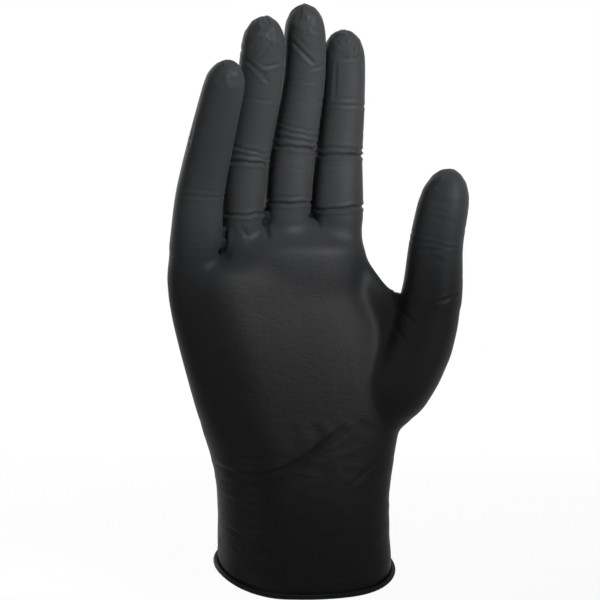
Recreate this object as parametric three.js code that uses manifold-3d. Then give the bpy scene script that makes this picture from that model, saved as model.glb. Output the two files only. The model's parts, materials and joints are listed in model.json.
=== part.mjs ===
// A disposable nitrile glove in the shape that it takes on a right hand: fingers up (+Z), palm towards -Y,
// thumb at +X. Millimetres. The origin is the centre of the wrist opening, where the hand goes in.
//
// A real glove is one dipped film with a rolled rim. It bends over each of the wearer's knuckles, so the film is
// divided there: stiff lengths (stalls) that keep their shape, and a fold of film at each knuckle between them.
// Every length is a hollow shell of the film's real thickness, and a named seam keeps neighbours just apart.

import * as THREE from 'three';
import { LoftGeometry } from 'three/addons/geometries/LoftGeometry.js';
import { mergeVertices } from 'three/addons/utils/BufferGeometryUtils.js';
import Module from 'manifold-3d';

// ---------------------------------------------------------------- driving dimensions

const film = 0.15; // thickness of the nitrile
const seam = 0.3; // clearance between neighbouring lengths of film
const rimDrop = 10; // the rim is this much lower at the palm, and higher at the back, than at its centre
const beadRadius = 1.2; // the rolled rim
const beadRoll = 0.7; // how far outside the film the middle of the roll lies

const wristHeight = 44; // wrist crease above the wrist opening's centre
const wristFold = 11; // film that wrinkles above and below the wrist crease
const palmLength = 105.5; // wrist crease to the top of the web beside the middle finger

const cuffHalfWidth = 37.1;
const cuffHalfDepth = 24.5;
const rimFlare = 0.9; // the cuff is this much wider at its rim
const wristHalfWidth = 38.4;
const wristHalfDepth = 21;
const heelHalfWidth = 44.4;
const heelHalfDepth = 18.5;
const palmHalfWidth = 47.8;
const palmMiddle = -7.7; // the palm's middle lies this far across from the wrist opening's
const palmHalfDepth = 15.5;
const knuckleHalfDepth = 13;
const knuckleMargin = 1.2; // palm beyond the outer sides of the index and little fingers
const webBelow = 3.4; // the web between fingers lies this far below their knuckles' middles
const webRound = 12; // length over which the palm rounds off into the web
const littleSideBulge = 3.5; // the muscle along the little finger's side of the palm

const stallRoundness = 2.25; // superellipse exponent of a finger's section, 2 is an ellipse
const palmRoundness = 2.5; // the same for the palm and cuff

const dorsalFold = 1.6; // half length of a knuckle's fold of film along the back of a finger
const runOn = 2; // how far a hollow runs on past an open end before it is cut out
const rootBelow = 18; // how far a finger's shape runs down inside the palm
const fingerSides = 14;
const palmSides = 32;
const thumbSides = 16;
const rollSides = 6;

// A finger's values run from its root to its tip: knuckle, middle joint, end joint, tip.
// `curl` tilts each length towards the palm and `palmarFold` is half the length of the fold inside each joint.
// The middle finger's centreline is placed by `across`; each other finger stands beside a neighbour, `gaps` away.
const fingers = {
  middle: {
    across: [-8.5, -6.9, -3.2, -4.1],
    drop: 0,
    forward: 0,
    lengths: [22.5, 33, 30.5],
    curl: [6.5, 9.5, 12.5],
    halfWidths: [9.4, 9.6, 8.9, 8.3],
    halfDepths: [9.8, 9.3, 8.4, 7.6],
    palmarFold: [9.5, 8, 5.5],
  },
  index: {
    beside: 'middle',
    side: 1,
    gaps: [1.9, 1.1, 1, 1.3],
    drop: 1,
    forward: -1,
    lengths: [19.9, 24, 32.2],
    curl: [2.5, 5, 8],
    halfWidths: [11, 10.3, 9.4, 8.9],
    halfDepths: [9.8, 9.2, 8.3, 7.5],
    palmarFold: [9.5, 7, 4.5],
  },
  ring: {
    beside: 'middle',
    side: -1,
    gaps: [1.2, 1.1, 1.1, 0.8],
    drop: 2,
    forward: 1,
    lengths: [19.9, 31.6, 32],
    curl: [10, 12.5, 15.5],
    halfWidths: [9.1, 9.3, 9.3, 8.8],
    halfDepths: [9.4, 8.8, 8.2, 7.6],
    palmarFold: [9.5, 7.5, 5.5],
  },
  little: {
    beside: 'ring',
    side: -1,
    gaps: [1.2, 1.1, 0.9, 0.7],
    drop: 13,
    forward: 5,
    lengths: [20.4, 26.6, 33],
    curl: [18, 22, 25],
    halfWidths: [10.2, 9.9, 9.2, 8.2],
    halfDepths: [9.6, 8.8, 8, 7.2],
    palmarFold: [9.5, 7.5, 5],
  },
};
const fingerCap = 12; // length of a fingertip's rounded end

// The thumb leaves the palm's side. Its points run from inside the palm over the ball of the thumb to the web, the
// joint and the tip: x from the palm's side edge, y from the palm's middle, z from the wrist crease.
const thumb = {
  path: [
    [-10.5, -4, wristFold + 6],
    [-3.5, -8, 29],
    [6.5, -11, 49],
    [10.6, -14.5, 70],
    [11.5, -18, 92],
    [16.5, -22.5, 122.4],
  ],
  halfWidths: [10, 14.3, 14.2, 12.6, 11.1, 10.2],
  halfDepths: [9, 13.5, 14, 12, 10.3, 9.5],
  roll: 38, // degrees that the pad is turned from facing the palm's way towards facing the fingers
  palmarFold: [9, 8],
  cap: 16,
};

// ---------------------------------------------------------------- a length of film

const up = new THREE.Vector3(0, 0, 1);
const across = new THREE.Vector3(1, 0, 0);

// A bent, tapered tube. A place on it is a station, where whole numbers are the control points, and an angle, where
// 0 is the lateral side, 90 degrees is the back and -90 degrees is the palm's side.
class Limb {
  constructor({ points, halfWidths, halfDepths, roundness, facing = null, roll = 0, cap = 0, bulge = 0 }) {
    this.curve = new THREE.CatmullRomCurve3(points);
    this.points = points;
    this.last = points.length - 1;
    this.halfWidths = halfWidths;
    this.halfDepths = halfDepths;
    this.power = 2 / roundness;
    const turn = THREE.MathUtils.degToRad(roll);
    this.back = new THREE.Vector3(Math.sin(turn), Math.cos(turn), 0);
    this.facing = facing; // the way that every ring faces, where it isn't along the centreline
    this.cap = cap;
    this.bulge = bulge;
  }

  // the station that lies `mm` beyond control point `index`
  station(index, mm) {
    const from = mm < 0 ? Math.max(index - 1, 0) : Math.min(index, this.last - 1);
    return index + mm / this.points[from].distanceTo(this.points[from + 1]);
  }

  // the station `mm` further along from any station
  shifted(station, mm) {
    const from = THREE.MathUtils.clamp(Math.floor(station), 0, this.last - 1);
    return station + mm / this.points[from].distanceTo(this.points[from + 1]);
  }

  // a value that changes smoothly from one control point to the next
  between(values, station) {
    const i = THREE.MathUtils.clamp(Math.floor(station), 0, this.last - 1);
    const at = (k) => values[THREE.MathUtils.clamp(k, 0, this.last)];
    const f = THREE.MathUtils.clamp(station - i, 0, 1);
    const slope = (k) => (at(k + 1) - at(k - 1)) / 2;
    return (
      at(i) * (1 + 2 * f) * (1 - f) ** 2 +
      slope(i) * f * (1 - f) ** 2 +
      at(i + 1) * f * f * (3 - 2 * f) +
      slope(i + 1) * f * f * (f - 1)
    );
  }

  frame(station) {
    const t = THREE.MathUtils.clamp(station / this.last, 0, 1);
    const along = this.facing ?? this.curve.getTangent(t);
    const lateral = this.back.clone().cross(along).normalize();
    return { centre: this.curve.getPoint(t), along, lateral, back: along.clone().cross(lateral) };
  }

  // A point on the film's outer face, or `inset` mm inside it.
  point(station, angle, inset = 0) {
    const { centre, lateral, back } = this.frame(station);
    let close = 1;
    if (this.cap) {
      const shoulder = this.station(this.last, -this.cap);
      const end = this.station(this.last, -inset);
      const share = THREE.MathUtils.clamp((station - shoulder) / (end - shoulder), 0, 1);
      close = Math.sqrt(1 - share * share);
    }
    const c = Math.cos(angle);
    const s = Math.sin(angle);
    const width = (this.between(this.halfWidths, station) - inset) * close;
    const depth = (this.between(this.halfDepths, station) - inset) * close;
    const muscle = s < 0 ? this.bulge * close * -s * Math.exp(-(((c + 0.62) / 0.4) ** 2)) : 0;
    return centre
      .addScaledVector(lateral, width * Math.sign(c) * Math.abs(c) ** this.power)
      .addScaledVector(back, depth * Math.sign(s) * Math.abs(s) ** this.power - muscle);
  }

  ring(stationAt, sides, inset) {
    return Array.from({ length: sides }, (_, k) => {
      const angle = (k / sides) * 2 * Math.PI;
      return this.point(stationAt(angle), angle, inset);
    });
  }

  // Rings from one edge to another. An edge is a function that gives the station at an angle.
  rings(from, to, rows, sides, inset = 0) {
    return Array.from({ length: rows + 1 }, (_, i) =>
      this.ring((angle) => THREE.MathUtils.lerp(from(angle), to(angle), i / rows), sides, inset),
    );
  }

  // A hollow length of film: up the outside, down the inside, and closed on itself.
  shell(from, to, rows, sides) {
    const outside = this.rings(from, to, rows, sides);
    const inside = this.rings(from, to, rows, sides, film).reverse();
    return new LoftGeometry([...outside, ...inside, outside[0]]);
  }

  // A closed fingertip: the rings crowd towards the tip, where they shrink to a point outside and inside.
  tipShell(from, rows, sides) {
    const rings = (inset) => {
      const shoulder = this.station(this.last, -this.cap);
      const end = this.station(this.last, -inset);
      const straight = this.rings(from, () => shoulder, 2, sides, inset).slice(0, -1);
      const round = Array.from({ length: rows + 1 }, (_, i) => {
        const share = Math.sin((i / rows) * (Math.PI / 2));
        return this.ring(() => THREE.MathUtils.lerp(shoulder, end, share), sides, inset);
      });
      return [...straight, ...round];
    };
    const outside = rings(0);
    return new LoftGeometry([...outside, ...rings(film).reverse(), outside[0]]);
  }

  // A closed solid of the outer shape.
  solid(from, to, rows, sides) {
    return new LoftGeometry(this.rings(from, to, rows, sides), { capStart: true, capEnd: true });
  }

  // The hollow inside that solid: it stops a film's thickness short of a closed end and runs on past an open one.
  hollow(from, to, rows, sides, open) {
    const rings = this.rings(from, to, rows, sides, film);
    const beside = (edge, mm) => this.ring((angle) => this.shifted(edge(angle), mm), sides, film);
    if (open === 'first') {
      rings.unshift(beside(from, -runOn));
    } else {
      rings[0] = beside(from, film);
    }
    if (open === 'last') {
      rings.push(beside(to, runOn));
    } else {
      rings[rows] = beside(to, -film);
    }
    return new LoftGeometry(rings, { capStart: true, capEnd: true });
  }
}

const level = (station) => () => station;

// The edge of a knuckle's fold: short along the back of the finger and long inside the bend.
function foldEdge(limb, joint, direction, palmarHalf, clearance) {
  return (angle) => {
    const inside = (1 - Math.sin(angle)) / 2;
    const reach = THREE.MathUtils.lerp(dorsalFold, palmarHalf, inside) + clearance;
    return limb.station(joint, direction * reach);
  };
}

// ---------------------------------------------------------------- where the fingers stand

const knuckleLine = wristHeight + palmLength;

// x of a finger's side at a height, taken from its joints
function sideAt(finger, height, side) {
  const { joints, halfWidths } = finger;
  const top = joints.findIndex((p) => p.z > height);
  const i = top === -1 ? joints.length - 2 : Math.max(top - 1, 0);
  const f = THREE.MathUtils.clamp((height - joints[i].z) / (joints[i + 1].z - joints[i].z), 0, 1);
  const x = THREE.MathUtils.lerp(joints[i].x, joints[i + 1].x, f);
  return x + side * THREE.MathUtils.lerp(halfWidths[i], halfWidths[i + 1], f);
}

// Places a finger's four joints, from its knuckle to its tip.
function placeFinger(finger) {
  const neighbour = fingers[finger.beside];
  let y = -finger.forward;
  let z = knuckleLine - finger.drop;
  finger.joints = finger.halfWidths.map((halfWidth, i) => {
    if (i > 0) {
      const tilt = THREE.MathUtils.degToRad(finger.curl[i - 1]);
      y -= finger.lengths[i - 1] * Math.sin(tilt);
      z += finger.lengths[i - 1] * Math.cos(tilt);
    }
    const x = neighbour
      ? sideAt(neighbour, z, finger.side) + finger.side * (finger.gaps[i] + halfWidth)
      : finger.across[i];
    return new THREE.Vector3(x, y, z);
  });
  const [knuckle, middleJoint] = finger.joints;
  const down = knuckle.clone().sub(middleJoint).setLength(rootBelow);
  finger.limb = new Limb({
    points: [knuckle.clone().add(down), ...finger.joints],
    halfWidths: [finger.halfWidths[0], ...finger.halfWidths],
    halfDepths: [finger.halfDepths[0], ...finger.halfDepths],
    roundness: stallRoundness,
    cap: fingerCap,
  });
}
Object.values(fingers).forEach(placeFinger);

// x of the middle and half the width of the palm where it carries the fingers from `first` to the index finger
function knuckles(first, margin) {
  const low = sideAt(fingers[first], knuckleLine, -1) - margin;
  const high = sideAt(fingers.index, knuckleLine, 1) + knuckleMargin;
  return { x: (low + high) / 2, halfWidth: (high - low) / 2, halfDepth: knuckleHalfDepth };
}

function uprightLimb(stations, extra) {
  return new Limb({
    points: stations.map(({ x, z }) => new THREE.Vector3(x, 0, z)),
    halfWidths: stations.map((s) => s.halfWidth),
    halfDepths: stations.map((s) => s.halfDepth),
    roundness: palmRoundness,
    facing: up,
    ...extra,
  });
}

// The cuff, wrist and palm are one limb, up to the foot of the little finger.
const WRIST = 2; // index of the wrist crease among its stations
const fromWrist = (share) => wristHeight + palmLength * share;
const palm = uprightLimb(
  [
    { z: -2 * rimDrop, x: 0, halfWidth: cuffHalfWidth, halfDepth: cuffHalfDepth },
    {
      z: wristHeight / 2,
      x: -0.8,
      halfWidth: cuffHalfWidth - rimFlare,
      halfDepth: (cuffHalfDepth + wristHalfDepth) / 2,
    },
    { z: wristHeight, x: -1, halfWidth: wristHalfWidth, halfDepth: wristHalfDepth },
    { z: fromWrist(0.22), x: -2.8, halfWidth: heelHalfWidth, halfDepth: heelHalfDepth },
    { z: fromWrist(0.5), x: palmMiddle, halfWidth: palmHalfWidth, halfDepth: palmHalfDepth },
    { z: fromWrist(0.7), ...knuckles('little', knuckleMargin) },
    { z: fingers.little.joints[0].z - webBelow, ...knuckles('little', knuckleMargin) },
  ],
  { cap: webRound, bulge: littleSideBulge },
);

// Above the foot of the little finger the palm carries the other three fingers only.
const upperPalm = uprightLimb(
  [
    { z: fromWrist(0.6), ...knuckles('ring', 0) },
    { z: fromWrist(0.8), ...knuckles('ring', 0) },
    { z: knuckleLine - webBelow, ...knuckles('ring', 0) },
  ],
  { cap: webRound },
);

const palmSide = palmMiddle + palmHalfWidth;
const thumbLimb = new Limb({
  points: thumb.path.map(([x, y, z]) => new THREE.Vector3(palmSide + x, y, wristHeight + z)),
  halfWidths: thumb.halfWidths,
  halfDepths: thumb.halfDepths,
  roundness: stallRoundness,
  roll: thumb.roll,
  cap: thumb.cap,
});
const THUMB_WEB = 3; // index of the thumb's first joint in its path
const THUMB_JOINT = 4;

// The web of skin from the index finger's root across to the thumb: x from the palm's side edge, z from the wrist
// crease, and half its height.
const thumbWebPoints = [
  { x: -18, y: -1, z: 54, halfHeight: 38 },
  { x: -9.5, y: -4, z: 52, halfHeight: 26.5 },
  { x: -4, y: -7.5, z: 51, halfHeight: 20.5 },
  { x: 2, y: -11, z: 50, halfHeight: 16 },
];
const thumbWebHalfDepth = 7.5;
const thumbWeb = new Limb({
  points: thumbWebPoints.map(({ x, y, z }) => new THREE.Vector3(palmSide + x, y, wristHeight + z)),
  halfWidths: thumbWebPoints.map((p) => p.halfHeight),
  halfDepths: thumbWebPoints.map(() => thumbWebHalfDepth),
  roundness: stallRoundness,
  facing: across,
});

// ---------------------------------------------------------------- pieces

const nitrile = new THREE.MeshStandardMaterial({ color: 0x2b2d2f, roughness: 0.62, metalness: 0 });
const rolledNitrile = new THREE.MeshStandardMaterial({ color: 0x1f2022, roughness: 0.5, metalness: 0 });

const glove = new THREE.Group();
function add(name, geometry, material = nitrile) {
  const mesh = new THREE.Mesh(geometry, material);
  mesh.name = name;
  glove.add(mesh);
}

const wasm = await Module();
wasm.setup();

function toManifold(geometry) {
  const bare = new THREE.BufferGeometry()
    .setAttribute('position', geometry.getAttribute('position'))
    .setIndex(geometry.index);
  const merged = mergeVertices(bare, 1e-4);
  return new wasm.Manifold(
    new wasm.Mesh({
      numProp: 3,
      vertProperties: merged.getAttribute('position').array,
      triVerts: new Uint32Array(merged.index.array),
    }),
  );
}

function toGeometry(manifold) {
  const mesh = manifold.getMesh();
  return new THREE.BufferGeometry()
    .setAttribute('position', new THREE.BufferAttribute(mesh.vertProperties, 3))
    .setIndex(new THREE.BufferAttribute(mesh.triVerts, 1));
}

// The rim follows a tilted line round the arm: low at the palm, high at the back.
const rimStation = (above) => (angle) => palm.station(0, 2 * rimDrop + rimDrop * Math.sin(angle) + above);

// The rolled rim: a small round section carried round the opening.
function rolledRim() {
  const sections = Array.from({ length: palmSides + 1 }, (_, k) => {
    const angle = ((k % palmSides) / palmSides) * 2 * Math.PI;
    const station = rimStation(0)(angle);
    const onFilm = palm.point(station, angle);
    const outward = onFilm.clone().sub(palm.frame(station).centre).setZ(0).normalize();
    const middle = onFilm.addScaledVector(outward, beadRoll);
    return Array.from({ length: rollSides }, (_, j) => {
      const turn = (j / rollSides) * 2 * Math.PI;
      return middle
        .clone()
        .addScaledVector(outward, beadRadius * Math.cos(turn))
        .addScaledVector(up, -beadRadius * Math.sin(turn));
    });
  });
  return new LoftGeometry(sections);
}
add('rolled_rim', rolledRim(), rolledNitrile);

// Cuff, and the fold of film at the wrist.
const sleeveFoot = rimStation(beadRadius + seam);
const wristEdge = (mm) => level(palm.station(WRIST, mm));
add('cuff_sleeve', palm.shell(sleeveFoot, wristEdge(-wristFold - seam), 4, palmSides));
add('wrist_fold', palm.shell(wristEdge(-wristFold), wristEdge(wristFold), 3, palmSides));

// The palm and back of the hand: the palm with the roots of the fingers and thumb, hollowed to the film.
function handShell() {
  const bottom = level(palm.station(WRIST, wristFold + seam));
  const top = (limb) => level(limb.station(limb.last, -0.8));
  const parts = [
    [palm, bottom, top(palm), 8, palmSides, 'first'],
    [upperPalm, level(0), top(upperPalm), 3, palmSides, 'none'],
    [thumbWeb, level(0), level(thumbWeb.last), 4, thumbSides, 'none'],
    [thumbLimb, level(0), level(THUMB_WEB), 6, thumbSides, 'last'],
  ];
  for (const { limb } of Object.values(fingers)) {
    parts.push([limb, level(0), level(1), 2, fingerSides, 'last']);
  }
  const join = (solids) => solids.map(toManifold).reduce((a, b) => a.add(b));
  const outer = join(parts.map(([limb, from, to, rows, sides]) => limb.solid(from, to, rows, sides)));
  const inner = join(
    parts.map(([limb, from, to, rows, sides, open]) => limb.hollow(from, to, rows, sides, open)),
  );
  return toGeometry(outer.subtract(inner));
}
add('hand_shell', handShell());

// The pieces of one finger or thumb, from its first joint to its tip.
function addStalls(name, limb, firstJoint, palmarFold, lengthNames, foldNames, sides) {
  palmarFold.forEach((half, i) => {
    const joint = firstJoint + i;
    const last = i === palmarFold.length - 1;
    const foldFoot =
      i === 0 ? level(limb.station(joint, seam)) : foldEdge(limb, joint, -1, half, 0);
    add(`${name}_${foldNames[i]}`, limb.shell(foldFoot, foldEdge(limb, joint, 1, half, 0), 2, sides));
    const foot = foldEdge(limb, joint, 1, half, seam);
    if (last) {
      add(`${name}_${lengthNames[i]}`, limb.tipShell(foot, 4, sides));
    } else {
      const head = foldEdge(limb, joint + 1, -1, palmarFold[i + 1], seam);
      add(`${name}_${lengthNames[i]}`, limb.shell(foot, head, 2, sides));
    }
  });
}
for (const [name, finger] of Object.entries(fingers)) {
  addStalls(
    name,
    finger.limb,
    1,
    finger.palmarFold,
    ['proximal_stall', 'middle_stall', 'fingertip'],
    ['root_fold', 'middle_fold', 'end_fold'],
    fingerSides,
  );
}
addStalls(
  'thumb',
  thumbLimb,
  THUMB_WEB,
  thumb.palmarFold,
  ['proximal_stall', 'tip'],
  ['root_fold', 'joint_fold'],
  thumbSides,
);

export default glove;
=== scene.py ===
"""A black nitrile glove in the shape that it takes on a right hand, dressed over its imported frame.

The frame's own pieces give every size: each finger, the thumb and the cuff are measured from the middle outwards,
and a fine skin of film is laid over the measured shape with its creases, folds and rolled rim.
"""

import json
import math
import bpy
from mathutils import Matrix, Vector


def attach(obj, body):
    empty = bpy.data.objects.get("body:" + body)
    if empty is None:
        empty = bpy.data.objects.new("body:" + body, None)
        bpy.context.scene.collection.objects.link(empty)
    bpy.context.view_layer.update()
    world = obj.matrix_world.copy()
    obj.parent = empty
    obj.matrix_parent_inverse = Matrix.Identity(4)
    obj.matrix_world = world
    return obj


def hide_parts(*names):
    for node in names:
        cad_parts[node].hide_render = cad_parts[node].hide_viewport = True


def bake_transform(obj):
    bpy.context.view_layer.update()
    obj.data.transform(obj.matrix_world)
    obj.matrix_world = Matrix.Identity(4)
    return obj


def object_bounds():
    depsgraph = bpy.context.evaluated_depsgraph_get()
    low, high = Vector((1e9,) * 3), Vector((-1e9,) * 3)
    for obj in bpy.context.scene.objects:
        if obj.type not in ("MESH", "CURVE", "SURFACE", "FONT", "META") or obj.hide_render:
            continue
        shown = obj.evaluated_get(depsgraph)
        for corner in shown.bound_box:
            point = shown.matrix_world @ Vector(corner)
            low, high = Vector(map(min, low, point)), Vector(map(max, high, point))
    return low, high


bl_info = {
    "name": "Nitrile glove",
    "version": (1, 0, 0),
    "blender": (4, 5, 0),
    "location": "3D View > Sidebar > Glove",
    "description": "Lays a creased nitrile film over the glove's frame and sets it in a plain studio",
    "category": "Add Mesh",
}

import bmesh
import bpy
import numpy as np
from bpy.props import FloatProperty, FloatVectorProperty, IntProperty, PointerProperty
from mathutils import Vector, noise
from mathutils.bvhtree import BVHTree

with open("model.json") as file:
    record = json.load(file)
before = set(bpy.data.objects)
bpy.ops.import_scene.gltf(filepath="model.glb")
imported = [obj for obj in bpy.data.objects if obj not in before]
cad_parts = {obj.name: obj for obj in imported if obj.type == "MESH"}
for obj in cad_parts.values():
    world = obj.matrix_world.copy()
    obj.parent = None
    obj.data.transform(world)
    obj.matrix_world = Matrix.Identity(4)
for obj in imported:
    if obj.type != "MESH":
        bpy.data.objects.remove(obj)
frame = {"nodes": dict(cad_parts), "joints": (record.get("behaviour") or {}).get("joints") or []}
CAD_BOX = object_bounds()
MM = 0.001
JOINTS = {joint["name"]: joint for joint in frame["joints"]}
FINGERS = ("index", "middle", "ring", "little")
TAU = 2 * math.pi


# ---------------------------------------------------------------- measuring the frame


def frame_points(*names):
    """The corners of some of the frame's pieces."""
    return np.array([v.co for n in names for v in frame["nodes"][n].data.vertices], float)


def wall_tree(*names):
    """The walls of some of the frame's pieces, ready to be measured to."""
    corners, faces = [], []
    for name in names:
        mesh = frame["nodes"][name].data
        first = len(corners)
        corners += [v.co.copy() for v in mesh.vertices]
        faces += [[first + i for i in p.vertices] for p in mesh.polygons]
    return BVHTree.FromPolygons(corners, faces)


def smoothstep(low, high, value):
    t = np.clip((value - low) / (high - low), 0, 1)
    return t * t * (3 - 2 * t)


def fill_gaps(table):
    """Fills the places where a measurement fell into a seam, from its neighbours along the column."""
    rows = np.arange(len(table))
    for column in table.T:
        good = np.isfinite(column)
        column[~good] = np.interp(rows[~good], rows[good], column[good])
    return table


def soften(table, rows, harmonics):
    """Smooths a table of radii along its rows, and round each ring, where only the broad shape is kept."""
    half = math.ceil(3 * rows)
    reach = np.arange(-half, half + 1)
    weights = np.exp(-0.5 * (reach / rows) ** 2)
    weights /= weights.sum()
    padded = np.pad(table, ((len(weights) // 2,) * 2, (0, 0)), mode="edge")
    table = np.stack([np.convolve(c, weights, mode="valid") for c in padded.T], axis=1)
    waves = np.fft.rfft(table, axis=1)
    waves[:, harmonics + 1 :] = 0
    return waves / table.shape[1]


def ring_values(waves, angles):
    """Radii at some angles, one row for each row of waves."""
    order = np.arange(waves.shape[1])
    turns = np.exp(1j * np.outer(order, angles))
    scale = np.where(order == 0, 1, 2)
    return ((waves * scale) @ turns).real


class Digit:
    """A finger or the thumb. A place on it is `along`, metres up its centreline from its first knuckle, and an angle,
    where 0 is its lateral side, a quarter turn is its back and minus a quarter turn is its pad."""

    STEP = 0.75 * MM
    ANGLES = np.arange(48) / 48 * TAU
    START = -2 * MM
    ROUND = 1.012  # a wall of flat faces lies this much inside the round shape that it stands for

    def __init__(self, name, joints, nodes, dome):
        self.name = name
        self.pivots = [np.array(JOINTS[j]["pos_m"], float) for j in joints]
        low, high = JOINTS[joints[0]]["range_deg"]
        lateral = np.array(JOINTS[joints[0]]["axis"], float)
        self.flat_lateral = lateral if abs(high) > abs(low) else -lateral
        walls = frame_points(nodes[-1])
        ahead = self.pivots[-1] - self.pivots[-2]
        tip = walls[np.argmax(walls @ ahead)]
        below = self.pivots[0] - (self.pivots[1] - self.pivots[0])
        self._lay_centreline([below, *self.pivots, tip])
        self.shoulder = self.length - dome
        self.joint_at = [self._nearest(p) for p in self.pivots]
        tree = wall_tree("hand_shell", *nodes)
        film = thickness()
        count = int((self.shoulder - self.START) / self.STEP) + 1
        self.stations = np.linspace(self.START, self.shoulder, count)
        table = self._measure(tree, [(self.centre(s), self._ring(s, 0)) for s in self.stations], film)
        self.tube = soften(fill_gaps(table), 1.6, 6)
        self.tilts = np.linspace(0, math.pi / 2, 13)
        centre = self.centre(self.shoulder)
        table = self._measure(tree, [(centre, self._ring(self.shoulder, t)) for t in self.tilts], film)
        self.dome = soften(fill_gaps(table), 0.8, 5)
        self.dome[0] = self.tube[-1]

    def _lay_centreline(self, points):
        points = [2 * points[0] - points[1], *points, 2 * points[-1] - points[-2]]
        line = []
        for a, b, c, d in zip(points, points[1:], points[2:], points[3:]):
            for t in np.linspace(0, 1, 60, endpoint=False):
                line.append(
                    0.5 * (2 * b + (c - a) * t + (2 * a - 5 * b + 4 * c - d) * t**2 + (3 * b - a - 3 * c + d) * t**3)
                )
        self.line = np.array([*line, points[-2]])
        steps = np.linalg.norm(np.diff(self.line, axis=0), axis=1)
        self.line_at = np.concatenate([[0], np.cumsum(steps)])
        self.line_at -= self.line_at[60]
        self.length = self.line_at[-1]

    def _nearest(self, point):
        return self.line_at[np.argmin(np.linalg.norm(self.line - point, axis=1))]

    def centre(self, along):
        return np.stack([np.interp(along, self.line_at, self.line[:, k]) for k in range(3)], axis=-1)

    def axes(self, along):
        """Lateral, back and forward directions at a place on the centreline."""
        ahead = self.centre(along + 0.5 * MM) - self.centre(along - 0.5 * MM)
        ahead /= np.linalg.norm(ahead)
        back = np.cross(ahead, self.flat_lateral)
        back /= np.linalg.norm(back)
        return np.cross(back, ahead), back, ahead

    def _ring(self, along, tilt, angles=None):
        """Directions out of the centreline, tilted forward for the rounded end."""
        angles = self.ANGLES if angles is None else angles
        lateral, back, ahead = self.axes(along)
        out = np.outer(np.cos(angles), lateral) + np.outer(np.sin(angles), back)
        return out * math.cos(tilt) + ahead * math.sin(tilt)

    def _measure(self, tree, rings, film):
        table = np.full((len(rings), len(self.ANGLES)), np.nan)
        for i, (centre, ring) in enumerate(rings):
            for j, way in enumerate(ring):
                distance = tree.ray_cast(Vector(centre), Vector(way), 0.025)[3]
                if distance is not None:
                    table[i, j] = (distance + film) * self.ROUND
            usual = np.nanmedian(table[i])
            table[i, table[i] > 1.4 * usual] = np.nan
        return table

    def radius(self, along, angle):
        """The measured radius at many places at once."""
        row = np.interp(along, self.stations, np.arange(len(self.stations)))
        low = np.clip(row.astype(int), 0, len(self.stations) - 2)
        part = (row - low)[:, None]
        waves = self.tube[low] * (1 - part) + self.tube[low + 1] * part
        order = np.arange(waves.shape[1])
        scale = np.where(order == 0, 1, 2)
        return (waves * scale * np.exp(1j * np.outer(angle, order))).real.sum(axis=1)

    def skin(self, sides, spacing, folds):
        """Rows of points from the knuckle to the tip, and how far along each row lies."""
        angles = np.arange(sides) / sides * TAU
        count = int(round((self.shoulder - self.START) / spacing))
        along = np.linspace(self.START, self.shoulder, count + 1)
        index = np.interp(along, self.stations, np.arange(len(self.stations)))
        waves = np.stack(
            [np.interp(index, np.arange(len(self.stations)), column) for column in self.tube.T], axis=1
        )
        radii = list(ring_values(waves, angles))
        rings = [(self.centre(s), self._ring(s, 0, angles)) for s in along]
        tilts = np.linspace(0, math.pi / 2, 22)[1:-1]
        waves = np.stack([np.interp(tilts, self.tilts, column) for column in self.dome.T], axis=1)
        radii += list(ring_values(waves, angles))
        centre = self.centre(self.shoulder)
        rings += [(centre, self._ring(self.shoulder, t, angles)) for t in tilts]
        mean = float(np.mean(radii[count]))
        reach = np.concatenate([along, self.shoulder + tilts * mean])
        points = []
        for place, radius, (middle, ways) in zip(reach, radii, rings):
            lift = folds(self, place, angles, middle + ways * radius[:, None])
            points.append(middle + ways * (radius + lift)[:, None])
        pole = centre + self.axes(self.shoulder)[2] * float(ring_values(self.dome[-1:], np.zeros(1))[0, 0])
        return points, reach, pole


# ---------------------------------------------------------------- folds of the film


def groove(across, width):
    """A sharp-bottomed fold: a narrow valley with a soft ridge on each side, one deep."""
    return -np.exp(-((across / width) ** 2)) + 0.45 * np.exp(-((np.abs(across) - 2.1 * width) / (1.1 * width)) ** 2)


def rumple(points, size, seed):
    """Ridged noise between 0 and 1: thin crests of loose film."""
    shift = Vector((seed * 3.1, seed * 1.7, seed * 2.3))
    return np.array([1 - abs(noise.noise(Vector(p) / size + shift)) * 2 for p in points]).clip(0, 1) ** 2


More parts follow.
